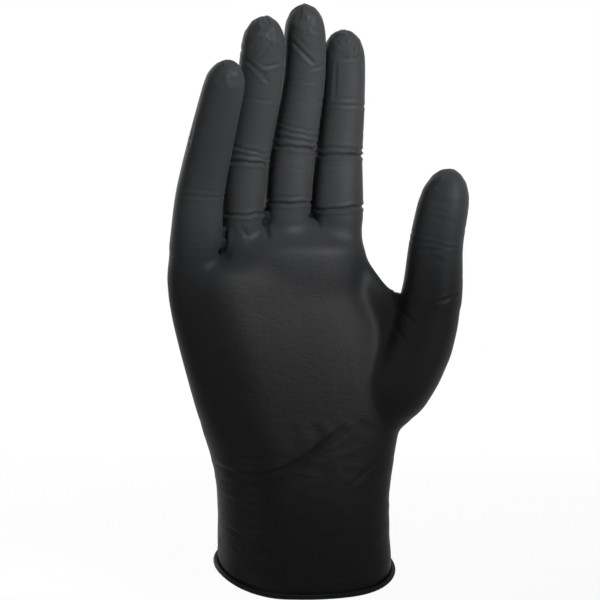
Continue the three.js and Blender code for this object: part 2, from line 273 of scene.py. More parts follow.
def finger_folds(digit, place, angles, points):
    """How far the film of a finger or thumb stands out at one ring: its creases, small folds and loose tip."""
    settings = bpy.context.scene.glove_film
    depth = settings.crease_depth
    wide = smoothstep(-0.3, 0.45, -np.sin(angles))
    lift = np.zeros(len(angles))
    # the creases inside the bend of each joint, and the padding that stands out between them
    firm = []
    for number, (at, creases) in enumerate(zip(digit.joint_at, JOINT_CREASES[digit.name])):
        for order, (gap, share) in enumerate(creases):
            sway = 0.5 * MM * np.sin(2 * angles + number + order) + 0.22 * MM * np.sin(7 * angles + 1.3 * order)
            lift += share * depth * wide * groove(place + sway - at - gap * MM, 0.62 * MM)
            if share == 1:
                firm.append(at + gap * MM)
    for low, high in zip(firm, [*firm[1:], digit.length - 8 * MM]):
        share = np.clip((place - low) / (high - low), 0, 1)
        lift += settings.padding * wide * (1 - abs(2 * share - 1) ** 3)
    # small wrinkles over the back of each knuckle
    back = np.clip(np.sin(angles), 0, 1) ** 2
    for at in digit.joint_at[1:]:
        for k in range(-2, 3):
            ripple = 0.4 * MM * np.sin(4 * angles + k)
            lift += 0.16 * depth * back * groove(place - ripple - at - k * 2.1 * MM, 0.6 * MM)
    for fold in FOLDS[digit.name]:
        lift += one_fold(fold, place, angles)
    # fingers that lie together press each other's roots wide
    for side, amount in ROOT_SWELL.get(digit.name, ()):
        facing = np.clip(np.cos(angles - side), 0, 1) ** 1.5
        lift += amount * MM * facing * math.exp(-(((place - 5 * MM) / (8 * MM)) ** 2))
    # loose film at the tip
    near = math.exp(-(((digit.length - place) / (10 * MM)) ** 2)) if place > digit.length - 26 * MM else 0
    near *= 0.5 if digit.name in ("little", "thumb") else 1
    if near > 0.02:
        crests = rumple(points, 6 * MM, len(digit.name)) - 0.35
        crests += 0.6 * (rumple(points, 3.2 * MM, 7 + len(digit.name)) - 0.35)
        lift += settings.pucker * near * crests * (1 - 0.65 * np.cos(angles) ** 2)
    fade = smoothstep(digit.START + 0.3 * MM, digit.START + 2 * MM, np.array(place))
    return lift * fade


def one_fold(fold, place, angles):
    """A short fold that lies across, along or slantwise."""
    at, angle, tilt, length, width, height, bow = fold
    u = ((angles - angle + math.pi) % TAU - math.pi) * 9 * MM
    v = place - at
    along = u * math.cos(tilt) + v * math.sin(tilt)
    across = -u * math.sin(tilt) + v * math.cos(tilt) - bow * (along / length) ** 2
    ends = 1 - smoothstep(0.4, 1, np.abs(along) / length)
    return height * ends * groove(across, width)


def scattered_folds(seed, low, high, count):
    """Small shallow folds over a finger, mostly slanting across it."""
    dice = np.random.default_rng(seed)
    folds = []
    for _ in range(count):
        folds.append(
            (
                dice.uniform(low, high),
                dice.uniform(0, TAU),
                dice.normal(0.15, 0.55),
                dice.uniform(4, 10) * MM,
                dice.uniform(0.5, 0.9) * MM,
                dice.uniform(0.05, 0.16) * MM,
                dice.uniform(-1.5, 1.5) * MM,
            )
        )
    return folds


# Creases inside the bend, for each joint from the knuckle up: millimetres past the joint, and share of full depth.
JOINT_CREASES = {
    "index": (((1.7, 1),), ((4, 1), (6.7, 0.6)), ((1, 0.35),)),
    "middle": (((3.6, 1), (5.9, 0.25)), ((4.3, 1), (7.4, 0.6), (10.4, 0.4), (12.9, 0.25)), ((-1, 0.15),)),
    "ring": (((1.5, 1),), ((3.4, 1), (6.1, 0.5), (8.5, 0.55)), ((-1.6, 0.2),)),
    "little": (((2, 0.12),), ((2, 0.22), (4.8, 0.15)), ((1, 0.12),)),
    "thumb": ((), ((0, 0.22), (2.6, 0.16))),
}

# Swelling at a finger's root: the side, and millimetres.
ROOT_SWELL = {"index": ((math.pi, 0.75),), "middle": ((0, 0.6),), "little": ((0, 0.75),)}

PAD = -math.pi / 2
LONGWAYS = math.pi / 2
FOLDS = {name: scattered_folds(len(name) * 11 + 3, 8 * MM, 78 * MM, 18) for name in ("index", "middle", "ring")}
FOLDS["little"] = scattered_folds(69, 8 * MM, 74 * MM, 8)
FOLDS["thumb"] = scattered_folds(5, 5 * MM, 44 * MM, 12)
# the pleats that frame the index finger's pad, and the slanting folds over the other fingers' end joints
FOLDS["index"] += [
    (56 * MM, PAD - 0.62, LONGWAYS, 9.5 * MM, 0.6 * MM, 0.34 * MM, 0),
    (56 * MM, PAD + 0.62, LONGWAYS, 9.5 * MM, 0.6 * MM, 0.3 * MM, 0),
    (65 * MM, PAD, 0.05, 6 * MM, 0.6 * MM, 0.36 * MM, -0.8 * MM),
    (48 * MM, PAD - 0.1, 0.05, 5.5 * MM, 0.6 * MM, 0.16 * MM, 0),
    (69 * MM, PAD + 0.35, 1.2, 5 * MM, 0.7 * MM, 0.4 * MM, 0),
]
FOLDS["middle"] += [
    (67.5 * MM, PAD - 0.3, -0.75, 8.5 * MM, 0.65 * MM, 0.45 * MM, 0),
    (61.5 * MM, PAD + 0.62, 0.25, 5 * MM, 0.6 * MM, 0.4 * MM, 0.6 * MM),
    (45 * MM, PAD - 0.75, 0.5, 6 * MM, 0.7 * MM, 0.2 * MM, 0),
    (41 * MM, PAD - 0.8, 0.4, 6 * MM, 0.7 * MM, 0.2 * MM, 0),
]
FOLDS["ring"] += [
    (63.5 * MM, PAD - 0.45, -0.5, 8 * MM, 0.65 * MM, 0.34 * MM, 0),
    (60.5 * MM, PAD - 0.15, -0.55, 6 * MM, 0.6 * MM, 0.26 * MM, 0),
    (65.5 * MM, PAD + 0.45, 0.2, 7 * MM, 0.6 * MM, 0.34 * MM, 0.5 * MM),
]
FOLDS["thumb"] += [(0.5 * MM, PAD + 0.9, 0.5, 7 * MM, 0.7 * MM, 0.3 * MM, 0.5 * MM)]

# Creases of the palm's side, as x and z in millimetres, with depth and width.
PALM_CREASES = (
    (((-43, 47), (-39.5, 43.5), (-34, 41.3), (-26, 40.8), (-15.9, 42.6), (-6, 47.3), (5, 55.4), (14, 62)), 0.62, 0.85),
    (((-37, 49.5), (-31, 47.5), (-22, 46.8)), 0.24, 0.8),
    (((-40.5, 39), (-37, 37.2), (-33, 37)), 0.34, 0.8),
    (((-31, 36.4), (-24, 35.6), (-16, 37.5)), 0.16, 0.8),
    (((-38, 31), (-34, 29.6), (-25, 27.4)), 0.34, 0.75),
    (((-36.5, 142.5), (-37, 137.5), (-38.8, 131)), 0.75, 1.0),
    (((-33.5, 147.8), (-30, 142.8), (-26.5, 137.4)), 0.34, 0.85),
    (((-19.6, 147.5), (-18.8, 143.5), (-18.2, 136.5)), 0.7, 0.9),
    (((1.6, 148), (3.3, 145), (5, 141.2)), 0.5, 0.9),
    (((33, 139), (37.5, 141.5), (40, 144)), 0.22, 0.8),
    (((38, 116), (43, 114), (47, 113)), 0.4, 0.9),
    (((36, 109), (40, 103), (45, 97)), 0.2, 0.8),
    (((33, 104), (36, 97), (39, 92)), 0.16, 0.8),
    (((-37, 21.8), (-31, 19.4), (-24, 16)), 0.28, 0.65),
    (((-37, 19), (-28, 12.6), (-17, 6.4)), 0.3, 0.65),
    (((-31, 19.6), (-24, 18.4), (-18, 17.6)), 0.2, 0.65),
    (((-29, 16.8), (-22, 13), (-15, 10)), 0.24, 0.65),
    (((-34, 16.6), (-25, 10.4), (-14, 4.8)), 0.22, 0.65),
    (((-35.5, 12.4), (-28, 5), (-19, -2)), 0.26, 0.65),
    (((2, 51), (10, 55.5), (17, 60.5)), 0.16, 1.0),
    (((12, 34), (20, 40), (27, 45)), 0.16, 1.0),
)


def crease_lift(points, normals):
    """How far the film of the palm and cuff stands out: drawn creases on the palm's side, loose folds all round."""
    settings = bpy.context.scene.glove_film
    x, y, z = points.T
    palm_side = smoothstep(0.05, 0.5, -normals[:, 1])
    lift = np.zeros(len(points))
    flat = np.stack([x, z], axis=1)
    for line, depth, width in PALM_CREASES:
        line = np.array(line, float) * MM
        best = np.full(len(points), 1.0)
        side = np.ones(len(points))
        reach = np.zeros(len(points))
        total = len(line) - 1
        for k, (a, b) in enumerate(zip(line, line[1:])):
            step = b - a
            t = np.clip(((flat - a) @ step) / (step @ step), 0, 1)
            away = flat - (a + t[:, None] * step)
            gap = np.linalg.norm(away, axis=1)
            closer = gap < best
            best = np.where(closer, gap, best)
            reach = np.where(closer, (k + t) / total, reach)
            side = np.where(closer, np.sign(step[0] * away[:, 1] - step[1] * away[:, 0]), side)
        ends = smoothstep(0, 0.16, reach) * (1 - smoothstep(0.8, 1, reach))
        lift += depth * MM * ends * palm_side * groove(best * side, width * MM)
    # soft slanting folds of the loose cuff, fading out above the wrist
    loose = (1 - smoothstep(40 * MM, 66 * MM, z)) * settings.cuff_looseness
    slant = x + 0.55 * z * np.sign(-normals[:, 1] + 1e-9)
    swell = np.array([noise.noise(Vector((s * 22, h * 46, d * 22))) for s, h, d in zip(slant, z, y)])
    lift += loose * swell
    fine = np.array([noise.noise(Vector((s * 60 + 4, h * 150, d * 60))) for s, h, d in zip(slant, z, y)])
    lift += 0.22 * loose * (1 - np.abs(fine) * 3).clip(-0.4, 1)
    return lift


# ---------------------------------------------------------------- making meshes


def thickness():
    return bpy.context.scene.glove_film.film


def new_piece(name, points, faces):
    mesh = bpy.data.meshes.new(name)
    mesh.from_pydata([tuple(p) for p in points], [], faces)
    mesh.validate()
    piece = bpy.data.objects.new(name, mesh)
    bpy.context.collection.objects.link(piece)
    mesh.shade_smooth()
    return piece


def tube_faces(rows, sides, closed_end=False):
    faces = []
    for r in range(rows - 1):
        for k in range(sides):
            n = (k + 1) % sides
            faces.append((r * sides + k, r * sides + n, (r + 1) * sides + n, (r + 1) * sides + k))
    if closed_end:
        pole = rows * sides
        faces += [((rows - 1) * sides + k, (rows - 1) * sides + (k + 1) % sides, pole) for k in range(sides)]
    return faces


def give_thickness(piece):
    """Lines the piece with its inner face, one film's thickness inside."""
    solid = piece.modifiers.new("Film", "SOLIDIFY")
    solid.thickness = thickness()
    solid.offset = -1
    bpy.context.view_layer.update()
    made = bpy.data.meshes.new_from_object(piece.evaluated_get(bpy.context.evaluated_depsgraph_get()))
    piece.modifiers.clear()
    old = piece.data
    piece.data = made
    bpy.data.meshes.remove(old)
    made.name = piece.name
    made.set_sharp_from_angle(angle=math.radians(66))


def finish_piece(piece, material):
    piece.data.materials.clear()
    piece.data.materials.append(material)


def vertex_normals(mesh):
    normals = np.zeros(len(mesh.vertices) * 3)
    mesh.vertices.foreach_get("normal", normals)
    return normals.reshape(-1, 3)


DIGITS = {}
CUFF = {}


def digits():
    """Every finger and the thumb, measured once."""
    if not DIGITS:
        for name in FINGERS:
            nodes = [
                f"{name}_{part}"
                for part in ("root_fold", "proximal_stall", "middle_fold", "middle_stall", "end_fold", "fingertip")
            ]
            joints = [f"{name}_{joint}" for joint in ("knuckle", "middle_joint", "end_joint")]
            DIGITS[name] = Digit(name, joints, nodes, 9 * MM)
        nodes = [f"thumb_{part}" for part in ("root_fold", "proximal_stall", "joint_fold", "tip")]
        DIGITS["thumb"] = Digit("thumb", ["thumb_knuckle", "thumb_joint"], nodes, 11 * MM)
    return DIGITS


# ---------------------------------------------------------------- the cuff's measured shape

CUFF_TURNS = 96
CUFF_ANGLES = np.arange(CUFF_TURNS) / CUFF_TURNS * TAU
CUFF_TOP = 56.6 * MM


def cuff_shape():
    """Radii of the cuff and wrist about the frame's upright axis, at each millimetre of height."""
    if not CUFF:
        tree = wall_tree("cuff_sleeve", "wrist_fold", "hand_shell")
        heights = np.arange(-14, 62) * MM
        table = np.full((len(heights), CUFF_TURNS), np.nan)
        for i, z in enumerate(heights):
            for j, a in enumerate(CUFF_ANGLES):
                way = Vector((math.cos(a), math.sin(a), 0))
                distance = tree.ray_cast(Vector((0, 0, z)), way, 0.06)[3]
                if distance is not None:
                    table[i, j] = distance + thickness()
        CUFF["shape"] = (heights, soften(fill_gaps(table), 1.6, 12))
    return CUFF["shape"]


def cuff_radius(z, angle):
    heights, waves = cuff_shape()
    row = np.interp(z, heights, np.arange(len(heights)))
    low = np.clip(row.astype(int), 0, len(heights) - 2)
    part = (row - low)[:, None]
    mixed = waves[low] * (1 - part) + waves[low + 1] * part
    order = np.arange(mixed.shape[1])
    scale = np.where(order == 0, 1, 2)
    return (mixed * scale * np.exp(1j * np.outer(angle, order))).real.sum(axis=1)


def rim_line(angles):
    """The middle of the rolled rim at some angles round the opening."""
    corners = np.unique(np.round(frame_points("rolled_rim"), 6), axis=0)
    turn = np.arctan2(corners[:, 1], corners[:, 0]) % TAU
    corners = corners[np.argsort(turn)]
    rings = corners.reshape(-1, 6, 3).mean(axis=1)
    turn = np.arctan2(rings[:, 1], rings[:, 0]) % TAU
    order = np.argsort(turn)
    turn, rings = turn[order], rings[order]
    dense = np.arange(256) / 256 * TAU
    line = np.stack([np.interp(dense, turn, rings[:, k], period=TAU) for k in range(3)], axis=1)
    waves = np.fft.rfft(line, axis=0)
    waves[9:] = 0
    line = np.fft.irfft(waves, n=256, axis=0)
    return np.stack([np.interp(angles, dense, line[:, k], period=TAU) for k in range(3)], axis=1)


# ---------------------------------------------------------------- finishes


PAINTED_LIGHT_HEIGHTS = (108 * MM, 154 * MM)  # painted light: the film is painted darkest below the first height and palest above the second
PAINTED_SHADE_TONE = 0.32  # painted shade: brightness of the film low down, which grows by 1 where the painted light is full


class Finish:
    """The nodes of a new material or world, written as Python expressions."""

    def __init__(self, owner):
        owner.use_nodes = True
        self.owner = owner
        self.tree = owner.node_tree
        self.tree.nodes.clear()

    def node(self, kind, settings=None, inputs=None, output=0):
        made = self.tree.nodes.new(kind)
        for key, value in (settings or {}).items():
            setattr(made, key, value)
        for key, value in (inputs or {}).items():
            if isinstance(value, Socket):
                self.tree.links.new(value.socket, made.inputs[key])
            else:
                made.inputs[key].default_value = value
        return Socket(self, made.outputs[output] if made.outputs else None)


class Socket:
    """One output of a node, which takes part in sums."""

    def __init__(self, finish, socket):
        self.finish = finish
        self.socket = socket

    def _math(self, operation, *values):
        return self.finish.node("ShaderNodeMath", {"operation": operation}, dict(enumerate(values)))

    def __add__(self, other):
        return self._math("ADD", self, other)

    __radd__ = __add__

    def __mul__(self, other):
        return self._math("MULTIPLY", self, other)

    __rmul__ = __mul__

    def __sub__(self, other):
        return self._math("SUBTRACT", self, other)

    def __rsub__(self, other):
        return self._math("SUBTRACT", other, self)

    def power(self, exponent):
        return self._math("POWER", self, exponent)

    def away_from(self, value):
        return self._math("ABSOLUTE", self - value)


def nitrile_finish(name, tone, roughness, wrinkle):
    """Satin dipped film: near-black, slightly uneven gloss, very fine creases, a faint pebble, and painted light that
    makes it paler higher up.
    """
    finish = Finish(bpy.data.materials.new(name))
    where = finish.node("ShaderNodeTexCoord", output=3)

    def speckle(scale, detail, stretch=(1, 1, 1)):
        scaled = finish.node("ShaderNodeMapping", {}, {0: where, 3: stretch})
        return finish.node("ShaderNodeTexNoise", {}, {"Vector": scaled, "Scale": scale, "Detail": detail})

    cloud = speckle(28, 3)
    streak = speckle(90, 4, (1, 1, 0.35))
    pebble = speckle(2600, 2)
    crinkle = 1 - speckle(240, 3, (1, 1, 2.2)).away_from(0.5) * 5
    tint = finish.node(
        "ShaderNodeMix",
        {"data_type": "RGBA"},
        {0: cloud, 6: (*[c * 0.75 for c in tone], 1), 7: (*[c * 1.3 for c in tone], 1)},
        output=2,
    )
    # painted light: the film's colour grows paler with height, darker over the palm and cuff and paler over the
    # fingers and thumb, standing in for the light that falls on them
    height = finish.node("ShaderNodeSeparateXYZ", {}, {0: where}, output=2)
    low, high = PAINTED_LIGHT_HEIGHTS
    lit_share = finish.node("ShaderNodeMapRange", {"interpolation_type": "SMOOTHSTEP"}, {0: height, 1: low, 2: high})
    share = lit_share + PAINTED_SHADE_TONE
    painted_light_tone = finish.node("ShaderNodeCombineColor", {}, {0: share, 1: share, 2: share})
    tint = finish.node(
        "ShaderNodeMix", {"data_type": "RGBA", "blend_type": "MULTIPLY"}, {0: 1, 6: tint, 7: painted_light_tone}, output=2
    )
    gloss = roughness - 0.07 + 0.1 * streak + 0.06 * cloud
    fine = finish.node("ShaderNodeBump", {}, {"Strength": 0.1, "Distance": 0.00004, "Height": pebble})
    shallow = finish.node(
        "ShaderNodeBump", {}, {"Strength": wrinkle, "Distance": 0.0001, "Height": crinkle, "Normal": fine}
    )
    shader = finish.node(
        "ShaderNodeBsdfPrincipled",
        {},
        {
            "Base Color": tint,
            "Roughness": gloss,
            "Normal": shallow,
            "IOR": 1.5,
            "Specular IOR Level": bpy.context.scene.glove_film.gloss,
        },
    )
    finish.node("ShaderNodeOutputMaterial", {}, {0: shader})
    return finish.owner


def film_material():
    settings = bpy.context.scene.glove_film
    made = bpy.data.materials.get("nitrile_film")
    return made or nitrile_finish("nitrile_film", tuple(settings.colour), settings.roughness, 0.35)


def rim_material():
    settings = bpy.context.scene.glove_film
    tone = tuple(c * 0.8 for c in settings.colour)
    return bpy.data.materials.get("rolled_film") or nitrile_finish("rolled_film", tone, settings.roughness - 0.04, 0.2)


# ---------------------------------------------------------------- sizes and colours


class GloveFilm(bpy.types.PropertyGroup):
    """The dipped film and how loosely it lies."""

    film: FloatProperty(
        name="Thickness", description="Thickness of the film", default=0.15 * MM, unit="LENGTH", precision=5
    )
    crease_depth: FloatProperty(
        name="Crease depth", description="Depth of the creases at the finger joints", default=0.78 * MM, unit="LENGTH"
    )
    padding: FloatProperty(
        name="Padding", description="How far the film stands out between creases", default=0.3 * MM, unit="LENGTH"
    )
    pucker: FloatProperty(
        name="Tip pucker", description="How far loose film stands out at the fingertips", default=0.7 * MM, unit="LENGTH"
    )
    cuff_looseness: FloatProperty(
        name="Cuff looseness", description="Height of the loose folds of the cuff", default=0.5 * MM, unit="LENGTH"
    )
    sides: IntProperty(name="Finger sides", description="Faces round each finger", default=88, min=24, max=160)
    spacing: FloatProperty(
        name="Row spacing", description="Distance between rows of faces", default=0.6 * MM, unit="LENGTH"
    )
    colour: FloatVectorProperty(
        name="Colour", description="Colour of the nitrile", default=(0.0165, 0.0172, 0.0185), subtype="COLOR"
    )
    roughness: FloatProperty(
        name="Roughness", description="How dull the satin surface is", default=0.46, subtype="FACTOR"
    )
    gloss: FloatProperty(
        name="Gloss", description="How much light the surface reflects", default=0.065, subtype="FACTOR"
    )


class GloveRim(bpy.types.PropertyGroup):
    """The rolled rim."""

    radius: FloatProperty(name="Roll radius", description="Radius of the rolled rim", default=1.15 * MM, unit="LENGTH")
    turns: IntProperty(name="Turns", description="Ridges that the rolled layers leave round the roll", default=4)
    ridge: FloatProperty(
        name="Ridge height", description="Height of the rolled layers' ridges", default=0.13 * MM, unit="LENGTH"
    )


class GloveStage(bpy.types.PropertyGroup):
    """The plain studio."""

    azimuth: FloatProperty(name="Azimuth", description="Way round from the palm, in degrees", default=-15)
    elevation: FloatProperty(name="Elevation", description="Height of the view, in degrees", default=3)
    lens: FloatProperty(name="Lens", description="Focal length in millimetres", default=200)
    frame_width: FloatProperty(
        name="Frame width", description="Width that the picture takes in", default=0.2517, unit="LENGTH"
    )
    floor_drop: FloatProperty(
        name="Floor drop", description="How far the floor lies below the glove", default=0.03, unit="LENGTH"
    )


# ---------------------------------------------------------------- pieces


def digit_pieces(name, cuts, nodes, reaches):
    """Lays one finger or the thumb as lengths of film, each centred on a joint."""
    settings = bpy.context.scene.glove_film
    digit = digits()[name]
    rows, reach, pole = digit.skin(settings.sides, settings.spacing, finger_folds)
    edges = [0, *[int(np.argmin(np.abs(reach - c))) for c in cuts], len(rows) - 1]
    for number, (low, high) in enumerate(zip(edges, edges[1:])):
        last = number == len(edges) - 2
        points = np.concatenate(rows[low : high + 1])
        faces = tube_faces(high - low + 1, settings.sides, last)
        if last:
            points = np.vstack([points, pole])
        piece = new_piece(f"{name}_film_{number + 1}", points, faces)
        give_thickness(piece)
        finish_piece(piece, film_material())
        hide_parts(*nodes[number])
        before, after = reaches[number]
        at = digit.joint_at[number]
        tuple(digit.centre(at + before))
        tuple(digit.centre(at + after))
        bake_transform(piece)


class GLOVE_OT_fingers(bpy.types.Operator):
    """Lay the film of the four fingers"""

    bl_idname = "glove.fingers"
    bl_label = "Fingers"

    def execute(self, context):
        for name in FINGERS:
            digit = digits()[name]
            knuckle, middle, end = digit.joint_at
            cut = (knuckle + middle) / 2 + 2 * MM
            digit_pieces(
                name,
                [cut, (middle + end) / 2 + 1 * MM],
                [
                    [f"{name}_root_fold", f"{name}_proximal_stall"],
                    [f"{name}_middle_fold", f"{name}_middle_stall"],
                    [f"{name}_end_fold", f"{name}_fingertip"],
                ],
                [(-1.6 * MM, cut - 0.6 * MM), (cut - middle + 0.6 * MM, 9.5 * MM), (-6 * MM, 6 * MM)],
            )
        return {"FINISHED"}


class GLOVE_OT_thumb(bpy.types.Operator):
    """Lay the film of the thumb"""

    bl_idname = "glove.thumb"
    bl_label = "Thumb"

    def execute(self, context):
        knuckle, joint = digits()["thumb"].joint_at
        digit_pieces(
            "thumb",
            [(knuckle + joint) / 2 + 1 * MM],
            [["thumb_root_fold", "thumb_proximal_stall"], ["thumb_joint_fold", "thumb_tip"]],
            [(-1.6 * MM, 9.5 * MM), (-8 * MM, 8 * MM)],
        )
        return {"FINISHED"}


def outer_walls(name):
    """The outer face of one of the frame's hollow pieces, closed over its openings."""
    shape = bmesh.new()
    shape.from_mesh(frame["nodes"][name].data)
    bmesh.ops.remove_doubles(shape, verts=shape.verts, dist=2e-7)
    bmesh.ops.triangulate(shape, faces=shape.faces)
    shape.normal_update()
    shape.faces.ensure_lookup_table()
    film = thickness()
    wide = [2 * f.calc_area() > 1.12 * film * max(e.calc_length() for e in f.edges) for f in shape.faces]
    island_of = {}
    areas = []
    for start in shape.faces:
        if not wide[start.index] or start.index in island_of:
            continue
        queue, area = [start], 0
        island_of[start.index] = len(areas)
        while queue:
            face = queue.pop()
            area += face.calc_area()
            for edge in face.edges:
                for other in edge.link_faces:
                    if wide[other.index] and other.index not in island_of:
                        island_of[other.index] = len(areas)
                        queue.append(other)
        areas.append(area)
    # the outer face is the larger of the two great ones; a small patch belongs to it if the inner face lies behind
    outer, inner = np.argsort(areas)[::-1][:2]
    tree = BVHTree.FromBMesh(shape)
    spare = []
    for face in shape.faces:
        island = island_of.get(face.index)
        if island == outer:
            continue
        if island != inner and face.calc_area() > 0:
            middle, inward = face.calc_center_median(), -face.normal
            behind = tree.ray_cast(middle + inward * 1e-6, inward, 2.5 * film)[2]
            if behind is not None and island_of.get(behind) == inner:
                continue
        spare.append(face)
    bmesh.ops.delete(shape, geom=spare, context="FACES")
    bmesh.ops.holes_fill(shape, edges=[e for e in shape.edges if e.is_boundary], sides=0)
    bmesh.ops.triangulate(shape, faces=shape.faces)
    bmesh.ops.recalc_face_normals(shape, faces=shape.faces)
    mesh = bpy.data.meshes.new(name + "_outer")
    shape.to_mesh(mesh)
    shape.free()
    return mesh


def relax(points, neighbours, weight, rounds):
    """Draws each point towards the middle of its neighbours, as stretched film does."""
    first, second, count = neighbours
    for _ in range(rounds):
        total = np.zeros_like(points)
        np.add.at(total, first, points[second])
        np.add.at(total, second, points[first])
        points = points + (total / count[:, None] - points) * weight[:, None]
    return points


class GLOVE_OT_palm(bpy.types.Operator):
    """Lay the film of the palm, the back of the hand and the webs between the fingers"""

    bl_idname = "glove.palm"
    bl_label = "Palm"

    def execute(self, context):
        piece = bpy.data.objects.new("palm_film", outer_walls("hand_shell"))
        context.collection.objects.link(piece)
        skin = piece.modifiers.new("Skin", "REMESH")
        skin.mode = "VOXEL"
        skin.voxel_size = 0.75 * MM
        context.view_layer.update()
        mesh = bpy.data.meshes.new_from_object(piece.evaluated_get(context.evaluated_depsgraph_get()))
        piece.modifiers.clear()
        piece.data = mesh
        self.shape(piece)
        give_thickness(piece)
        finish_piece(piece, film_material())
        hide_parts("hand_shell")
        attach(piece, "hand")
        return {"FINISHED"}

    def shape(self, piece):
        mesh = piece.data
        count = len(mesh.vertices)
        if count < 5000:
            raise RuntimeError(f"the palm's skin has only {count} points")
        points = np.zeros(count * 3)
        mesh.vertices.foreach_get("co", points)
        points = points.reshape(-1, 3)
        edges = np.zeros(len(mesh.edges) * 2, int)
        mesh.edges.foreach_get("vertices", edges)
        first, second = edges.reshape(-1, 2).T
        degree = np.bincount(np.concatenate([first, second]), minlength=count)
        neighbours = (first, second, np.maximum(degree, 1))
        near = np.ones(count)
        places = {}
        for name, digit in digits().items():
            places[name] = self.on_digit(digit, points)
            along, gap = places[name][0], places[name][3]
            close = (along > -7.5 * MM) & (gap < 4 * MM)
            near[close] = np.minimum(near[close], 1 - smoothstep(-7.5 * MM, -2 * MM, along[close]))
        points = relax(points, neighbours, np.full(count, 0.5) * (0.25 + 0.75 * near), 8)
        points = relax(points, neighbours, 0.5 * near, 60)
        # meet the fingers
        gone = np.zeros(count, bool)
        for name in places:
            digit = digits()[name]
            along, angle, out, gap = self.on_digit(digit, points)
            radius = digit.radius(along, angle)
            inset = np.interp(along - digit.START, [-0.8 * MM, 0, MM], [0, 0.02 * MM, 0.06 * MM])
            pull = smoothstep(-6 * MM, -2.2 * MM, along) * (np.abs(gap) < 2.5 * MM) * (along < 6 * MM)
            points += out * ((radius - inset - (gap + radius)) * pull)[:, None]
            gone |= (gap < 0.35 * MM) & (along > digit.START + 1.1 * MM) & (along < 12 * MM)
        # meet the cuff
        turn = np.arctan2(points[:, 1], points[:, 0])
        out = np.stack([np.cos(turn), np.sin(turn), np.zeros(count)], axis=1)
        length = np.hypot(points[:, 0], points[:, 1])
        radius = cuff_radius(points[:, 2], turn)
        pull = 1 - smoothstep(CUFF_TOP, CUFF_TOP + 7 * MM, points[:, 2])
        pull *= np.abs(length - radius) < 4 * MM
        inset = np.interp(points[:, 2], [CUFF_TOP - MM, CUFF_TOP, CUFF_TOP + 0.8 * MM], [0.06 * MM, 0.02 * MM, 0])
        points += out * ((radius - inset - length) * pull)[:, None]
        gone |= points[:, 2] < CUFF_TOP - 1.5 * MM
        mesh.vertices.foreach_set("co", points.ravel())
        mesh.update()
        normals = vertex_normals(mesh)
        calm = np.ones(count)
        for name in places:
            along, _, _, gap = places[name]
            beside = (np.abs(gap) < 3 * MM) & (along > -5 * MM)
            calm[beside] = np.minimum(calm[beside], 1 - smoothstep(-5 * MM, -2.4 * MM, along[beside]))
        lift = crease_lift(points, normals) * calm
        mesh.vertices.foreach_set("co", (points + normals * lift[:, None]).ravel())
        shape = bmesh.new()
        shape.from_mesh(mesh)
        shape.verts.ensure_lookup_table()
        spare = [f for f in shape.faces if all(gone[v.index] for v in f.verts)]
        bmesh.ops.delete(shape, geom=spare, context="FACES")
        shape.to_mesh(mesh)
        shape.free()
        mesh.shade_smooth()

    @staticmethod
    def on_digit(digit, points):
        """Where each point lies on a digit: how far along, at what angle, which way is out, and its height off it."""
        _, _, ahead = digit.axes(-3 * MM)
        base = digit.centre(-3 * MM)
        along = (points - base) @ ahead - 3 * MM
        lateral, back, _ = digit.axes(0)
        middle = digit.centre(np.clip(along, -8 * MM, 8 * MM))
        away = points - middle
        a, b = away @ lateral, away @ back
        angle = np.arctan2(b, a)
        out = np.outer(np.cos(angle), lateral) + np.outer(np.sin(angle), back)
        gap = np.hypot(a, b) - digit.radius(along, angle)
        return along, angle, out, gap


class GLOVE_OT_cuff(bpy.types.Operator):
    """Lay the film of the cuff and wrist"""

    bl_idname = "glove.cuff"
    bl_label = "Cuff"

    def execute(self, context):
        sides, rows = 340, 124
        angles = np.arange(sides) / sides * TAU
        foot = rim_line(angles)[:, 2]
        points, outs = [], []
        for share in np.linspace(0, 1, rows):
            z = foot + (CUFF_TOP - foot) * share
            radius = cuff_radius(z, angles)
            outs.append(np.stack([np.cos(angles), np.sin(angles), np.zeros(sides)], axis=1))
            points.append(np.stack([radius * np.cos(angles), radius * np.sin(angles), z], axis=1))
        points = np.concatenate(points)
        piece = new_piece("cuff_film", points, tube_faces(rows, sides))
        normals = vertex_normals(piece.data)
        lift = crease_lift(points, normals)
        # the film is drawn straight where it runs into the roll
        height = points[:, 2] - np.tile(foot, rows)
        lift *= smoothstep(0.2 * MM, 5 * MM, height)
        turn = np.tile(angles, rows)
        for at, tall in ((2.6 * MM, 0.22 * MM), (4.4 * MM, 0.14 * MM)):
            side = smoothstep(0.1, 0.9, -np.cos(turn - 0.35))
            lift += tall * side * np.exp(-(((height - at - 0.5 * MM * np.sin(5 * turn)) / (0.6 * MM)) ** 2))
        piece.data.vertices.foreach_set("co", (points + normals * lift[:, None]).ravel())
        piece.data.update()
        give_thickness(piece)
        finish_piece(piece, film_material())
        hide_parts("cuff_sleeve", "wrist_fold")
        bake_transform(piece)
        return {"FINISHED"}


